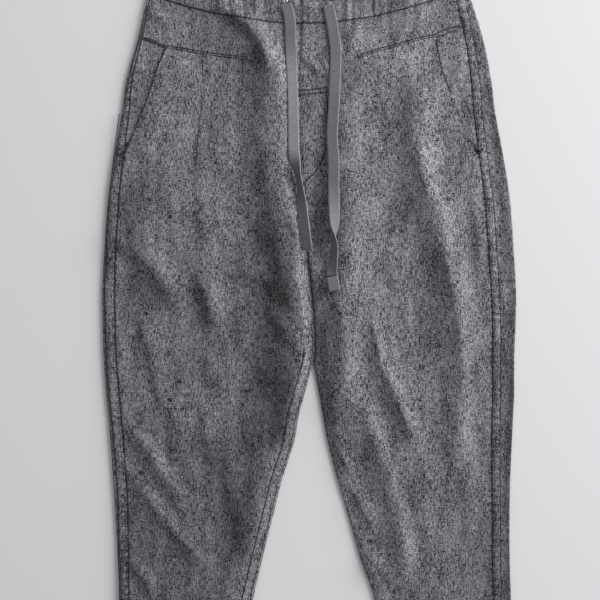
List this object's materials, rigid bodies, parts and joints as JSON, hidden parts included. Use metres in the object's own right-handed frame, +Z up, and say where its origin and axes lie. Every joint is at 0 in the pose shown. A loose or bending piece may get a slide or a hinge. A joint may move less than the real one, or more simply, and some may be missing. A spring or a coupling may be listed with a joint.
{
  "type": "drawstring trousers laid flat",
  "caption": "Tapered drawstring trousers with a wide thigh, gathered waistband and slant pockets, laid flat on their back.",
  "frame": {"origin": "middle of the garment's outline on the surface it lies on", "axes": "+Z up out of the front of the garment, +Y towards the waist, +X to the viewer's right"},
  "size_m": [0.546, 1.019, 0.027],
  "materials": {
    "cloth": "charcoal and off-white yarn-dyed chambray, matt",
    "tape": "mauve-grey twill tape",
    "eyelet": "nickel-plated ring"
  },
  "bodies": {
    "root": {"front_left": "cloth", "front_right": "cloth", "back_left": "cloth", "back_right": "cloth", "pocket_facing_left": "cloth", "pocket_facing_right": "cloth", "waistband_front": "cloth", "waistband_back": "cloth", "tape_left": "tape", "tape_right": "tape", "tape_tab_right": "tape", "eyelet_left": "eyelet"}
  },
  "joints": []
}
